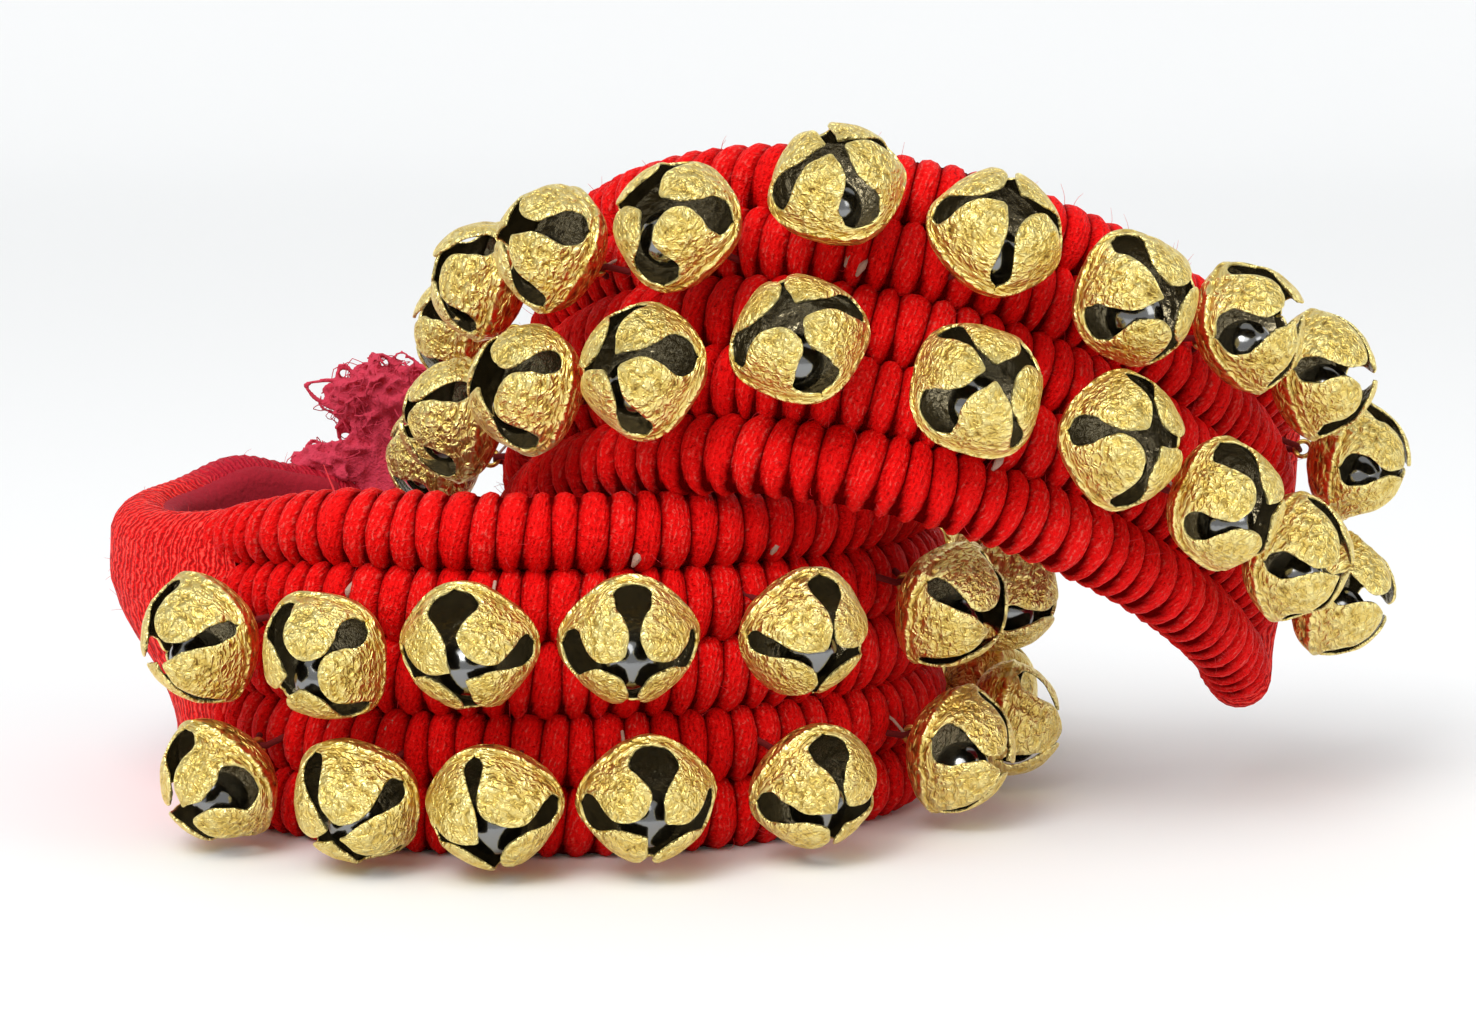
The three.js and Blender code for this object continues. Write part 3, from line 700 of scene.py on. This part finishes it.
def makeBall(bellNode, eye, axis, down, facing):
    node = bellNode.replace("_bell_", "_ball_")
    centre = eye + down * (ball["drop"] * mm) + facing * (ball["rise"] * mm)
    if node in frame["nodes"]:
        low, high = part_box(node)
        centre = (low + high) / 2
    clearSelection()
    bpy.ops.mesh.primitive_ico_sphere_add(subdivisions=3, radius=ball["radius"] * mm, location=centre)
    piece = bpy.context.object
    piece.name = plainName(node)
    bpy.ops.object.transform_apply(location=True, rotation=True, scale=True)
    # small wear dents on the ball; no colour is painted here
    worn = piece.modifiers.new("worn", "DISPLACE")
    worn.texture = dentTexture
    worn.texture_coords = "LOCAL"
    worn.strength = ball["worn"] * mm
    applyAll(piece)
    bpy.ops.object.shade_smooth()
    piece.data.materials.append(ballSteel)
    if node in frame["nodes"]:
        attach(piece, node)
        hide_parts(node)
    else:
        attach(piece, bellNode)


hung = {}
for rowName, rowNods in nods.items():
    for number, nod in enumerate(rowNods, 1):
        node = f"{rowName}_bell_{number:02d}"
        hung[node] = makeBell(node, nod)
        makeBall(node, *hung[node])
print("bells and balls made")


# the cord of each row, through its bells' eyes and down into the channel between them

cord = {"thick": 0.9, "hold": 1.0, "turn": 3.0, "dive": 4.0, "dip": 4.5}
sewing = {
    "thick": 0.45, "reach": 3.4, "reachVary": (0.8, 1.2), "spread": 1.6, "spreadVary": (0.4, 1.2), "share": 0.35,
    "line": [(0.3, 0, 0), (0.6, 0.25, 0.7), (1, 0.6, 1.7), (1, 0.8, 3.5)],  # shares of spread and reach, and depth
    "coreSlant": 0.25, "coreSunk": 1.0, "coreBow": 0.12, "coreStep": 0.6, "coreWidths": [1.0, 2.0, 2.6, 1.8, 1.0],
    "showing": {  # where the cotton core shows between the ribs: length along the pad and height
        "standing": [(-24.5, 35.0), (11.5, 40.0), (29.5, 40.5), (-39.5, 16.5),
                     (-19.5, 17.0), (46.0, 14.0), (-27.5, 16.5)],
        "leaning": [(8.0, 31.5), (9.5, 30.5), (29.5, 9.5)],
    },
}


def coreSpot(pad, length, up):  # a short fat strand of cotton, bowed back at its ends
    line = []
    for k in (-2, -1, 0, 1, 2):
        out = band["halfThick"] - sewing["coreSunk"] - sewing["coreBow"] * k * k
        spot = (length + sewing["coreSlant"] * k, out, up + sewing["coreStep"] * k)
        line.append(onPad(pad, *np.array(spot)))
    return line, sewing["coreWidths"]


for rowName in nods:
    pad = standing if rowName.startswith("standing") else leaning
    eyes = [hung[f"{rowName}_bell_{number:02d}"] for number in range(1, band["bells"] + 1)]
    path = []
    stitches = []
    for number, (eye, axis, down, facing) in enumerate(eyes):
        for side in (1, -1):
            through = []
            for reach, sink in ((cord["turn"], cord["dive"]), (cord["hold"], 0)):
                through.append(eye + axis * side * reach * mm - facing * sink * mm)
            path += through[::side]
        if number + 1 < len(eyes):
            between = (eye + eyes[number + 1][0]) / 2
            path.append(between - (facing + eyes[number + 1][3]).normalized() * cord["dip"] * mm)
        for side in (-1, 1):  # the sewing thread that holds each eye to its roll
            spread = axis * side * sewing["spread"] * mm * chance.uniform(*sewing["spreadVary"])
            tall = -down * mm * sewing["reach"] * chance.uniform(*sewing["reachVary"])
            back = -facing * mm
            line = [eye + spread * aside + tall * rise + back * depth for aside, rise, depth in sewing["line"]]
            if chance.uniform() < sewing["share"]:
                stitches.append((line, [1] * len(line)))
    piece = strandPiece(plainName(rowName + "_cord"), [(path, [1] * len(path))], cord["thick"] * mm, 2)
    piece.data.materials.append(cordYarn)
    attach(piece, pad["body"])
    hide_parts(f"{rowName}_string")
    if rowName.endswith("top"):
        stitches += [coreSpot(pad, length, up) for length, up in sewing["showing"][pad["body"]]]
    piece = strandPiece(plainName(rowName + "_stitches"), stitches, sewing["thick"] * mm, 1)
    piece.data.materials.append(creamThread)
    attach(piece, pad["body"])
print("cords and stitches made")


# the frayed tie at the tip of the bare end

tie = {
    "foot": 35.5, "strands": 210, "steps": 30, "step": 0.85, "thick": 1.05, "curl": 0.42,
    "held": (-3.0, 0.0, -2.5), "heldHalf": (0.6, 1.6, 2.2), "bends": [(0.45, 0.3, 0.1), (0.9, 0.8, 0.5)],
    "trunk": (4.0, 2.5, 3.5), "trunkHalf": (4.6, 3.0, 1.5), "head": (3.0, 3.5, 15.0), "headHalf": (8.0, 4.0, 4.6),
    "creep": (-5.5, 0.5, 5.6), "creepHalf": (5.5, 2.0, 1.3), "creepShare": 0.2, "creepTrunk": 0.5,
    "spread": 0.8, "pull": 0.1, "tangleFrom": 0.5, "tangleEdge": 0.75, "taper": (1.1, 0.6), "strayThick": 0.9,
    "stray": [[-3, 3, 18], [-6, 3, 18.2], [-9.5, 3, 17.6], [-8, 3, 15.6], [-5.5, 3, 14], [-1, 3, 13]],
    "felt": 0.42, "fibres": 160, "fibreThick": 0.22,
}


def woolStrand():  # held in the tip of the pad, it climbs to the head and tangles there
    spread = chance.uniform(-1, 1, 3)
    creeps = chance.uniform() < tie["creepShare"]  # some lie back along the top of the pad
    place = "creep" if creeps else "head"
    middle, half = np.array(tie[place]), np.array(tie[place + "Half"])
    spot = np.array(tie["trunk"]) + np.array(tie["trunkHalf"]) * spread * (tie["creepTrunk"] if creeps else 1)
    goal = middle + half * chance.uniform(-tie["spread"], tie["spread"], 3)
    held = np.array(tie["held"]) + np.array(tie["heldHalf"]) * spread
    line = [held, *(held + (spot - held) * np.array(bend) for bend in tie["bends"]), spot]
    heading = np.array([0, 0, 1.0])
    for step in range(tie["steps"]):
        pull = goal - spot
        if step > tie["steps"] * tie["tangleFrom"]:  # where it tangles it wanders, and turns back at the edge
            pull = (middle - spot) * max(0.0, np.linalg.norm((spot - middle) / half) - tie["tangleEdge"])
        heading = heading + tie["curl"] * chance.normal(0, 1, 3) + tie["pull"] * pull
        heading = heading / np.linalg.norm(heading)
        spot = spot + heading * tie["step"]
        line.append(spot)
    return line


def tieStrands(root, count):
    strands = []
    for strand in range(count):
        line = np.array(woolStrand())
        strands.append((toFrame(standing, root + line), np.linspace(*tie["taper"], len(line))))
    return strands


def makeTie():  # matted wool with single fibres over it
    tip = padPlace(standing, np.array(standing["start"]))[0]
    root = tip + np.array([0, 0, tie["foot"]])
    stray = toFrame(standing, root + np.array(tie["stray"]))
    strands = tieStrands(root, tie["strands"]) + [(stray, [tie["strayThick"]] * len(stray))]
    wool = strandPiece("frayedTie", strands, tie["thick"] * mm, 1)
    matted = wool.modifiers.new("matted", "REMESH")
    matted.mode = "VOXEL"
    matted.voxel_size = tie["felt"] * mm
    matted.use_smooth_shade = True
    wool.modifiers.new("softened", "SMOOTH").iterations = 2
    applyAll(wool)
    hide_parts("tie_tassel")
    fibres = strandPiece("tieFibres", tieStrands(root, tie["fibres"]), tie["fibreThick"] * mm, 1)
    for piece in (wool, fibres):
        piece.data.materials.append(frayYarn)
        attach(piece, "standing")


makeTie()
print("tie frayed")


# loose fibres standing off the yarn

fuzz = {
    "count": 420, "thick": 0.07, "long": (0.8, 2.6), "inset": 4, "sunk": 0.2, "turn": 1.3, "topTurn": 1.9,
    "drift": 0.6, "driftAlong": 1.5, "oval": 1.05, "taper": [1, 0.9, 0.7, 0.4],
    "stray": (-27.0, 47.0, 4.5), "strayOut": 2.0, "strayLean": (-0.4, 0.1), "strayTaper": [4, 4, 3.5, 3, 2],
}


def raiseFibre(pad):
    length = chance.uniform(pad["start"] + fuzz["inset"], pad["stop"] - fuzz["inset"])
    roll = chance.integers(0, band["rolls"])
    turn = chance.uniform(-fuzz["turn"], fuzz["topTurn"] if roll == band["rolls"] - 1 else fuzz["turn"])
    grow = chance.uniform(*fuzz["long"])
    drift = chance.normal(0, fuzz["drift"], 2)
    last = len(fuzz["taper"]) - 1
    path = []
    for step in range(last + 1):
        away = band["halfThick"] - fuzz["sunk"] + grow * step / last
        bent = (step / last) ** 2
        out = np.array(away * math.cos(turn))
        up = np.array((roll + 0.5) * band["pitch"] + away * fuzz["oval"] * math.sin(turn) + drift[0] * bent)
        path.append(onPad(pad, np.array(length + drift[1] * bent * fuzz["driftAlong"]), out, up))
    return path, fuzz["taper"]


def strayEnd(pad):  # one loose end on the top roll
    length, up, grow = fuzz["stray"]
    along, outward = fuzz["strayLean"]
    last = len(fuzz["strayTaper"]) - 1
    path = []
    for k in range(last + 1):
        spot = (length + along * k, fuzz["strayOut"] + outward * k, up + grow * k / last)
        path.append(onPad(pad, *np.array(spot)))
    return path, fuzz["strayTaper"]


for pad in (standing, leaning):
    fibres = [raiseFibre(pad) for fibre in range(fuzz["count"])]
    if pad is standing:
        fibres.append(strayEnd(pad))
    piece = strandPiece(f"{pad['body']}Fuzz", fibres, fuzz["thick"] * mm, 0)
    piece.data.materials.append(fuzzYarn)
    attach(piece, pad["body"])
print("fibres raised")


# floor, light and camera

studio = {
    "floor": 4.0, "setback": 0.5, "wall": 3.0, "sweep": 0.8, "sweepSteps": 12, "paper": (0.87, 0.88, 0.885),
    "fill": 0.58, "sun": 1.4, "sunSpread": 50, "sunWay": (0.25, 0.55, -0.85), "aim": (0, 0, 0.04),
    "lamps": {"key": ((-0.3, -0.6, 0.7), 0.35, 2.6), "side": ((0.7, -0.35, 0.4), 0.4, 1.2)},  # place, size, power
}

clearSelection()
bpy.ops.mesh.primitive_plane_add(size=studio["floor"], location=(0, studio["setback"], 0))
floor = bpy.context.object
floor.name = "floor"
bpy.ops.object.mode_set(mode="EDIT")
bpy.ops.mesh.select_all(action="DESELECT")
bpy.ops.object.mode_set(mode="OBJECT")
for edge in floor.data.edges:
    edge.select = all(floor.data.vertices[v].co.y > 0.49 * studio["floor"] for v in edge.vertices)
bpy.ops.object.mode_set(mode="EDIT")
bpy.ops.mesh.extrude_region_move(TRANSFORM_OT_translate={"value": (0, 0, studio["wall"])})
bpy.ops.object.mode_set(mode="OBJECT")
sweep = floor.modifiers.new("sweep", "BEVEL")
sweep.width = studio["sweep"]
sweep.segments = studio["sweepSteps"]
applyAll(floor)
bpy.ops.object.shade_smooth()
floor.data.materials.append(plainMaterial("paleFloor", studio["paper"], 0.9))

world = bpy.data.worlds.new("studio")
bpy.context.scene.world = world
world.use_nodes = True
world.node_tree.nodes["Background"].inputs["Color"].default_value = (1, 1, 1, 1)
world.node_tree.nodes["Background"].inputs["Strength"].default_value = studio["fill"]

for name, (place, size, power) in studio["lamps"].items():
    light = bpy.data.lights.new(name, "AREA")
    light.size = size
    light.energy = power
    lamp = bpy.data.objects.new(name, light)
    lamp.location = place
    lamp.rotation_euler = (Vector(studio["aim"]) - Vector(place)).to_track_quat("-Z", "Y").to_euler()
    bpy.context.collection.objects.link(lamp)
sky = bpy.data.lights.new("sky", "SUN")
sky.energy = studio["sun"]
sky.angle = math.radians(studio["sunSpread"])
lamp = bpy.data.objects.new("sky", sky)
lamp.rotation_euler = Vector(studio["sunWay"]).to_track_quat("-Z", "Y").to_euler()
bpy.context.collection.objects.link(lamp)

shot = {"aside": 24.97, "back": -441.58, "high": 107.73, "pitch": 9.0046, "lens": 77.07, "sensor": 36}
camera = bpy.data.cameras.new("camera")
camera.lens = shot["lens"]
camera.sensor_width = shot["sensor"]
camera.clip_start = 0.01
viewer = bpy.data.objects.new("camera", camera)
viewer.location = (np.array([shot["aside"], shot["back"], shot["high"]]) + ovalCentre) * mm
viewer.rotation_euler = (math.radians(90 - shot["pitch"]), 0, 0)
bpy.context.collection.objects.link(viewer)
bpy.context.scene.camera = viewer
bpy.context.scene.view_settings.view_transform = "Standard"

print("scene ready")
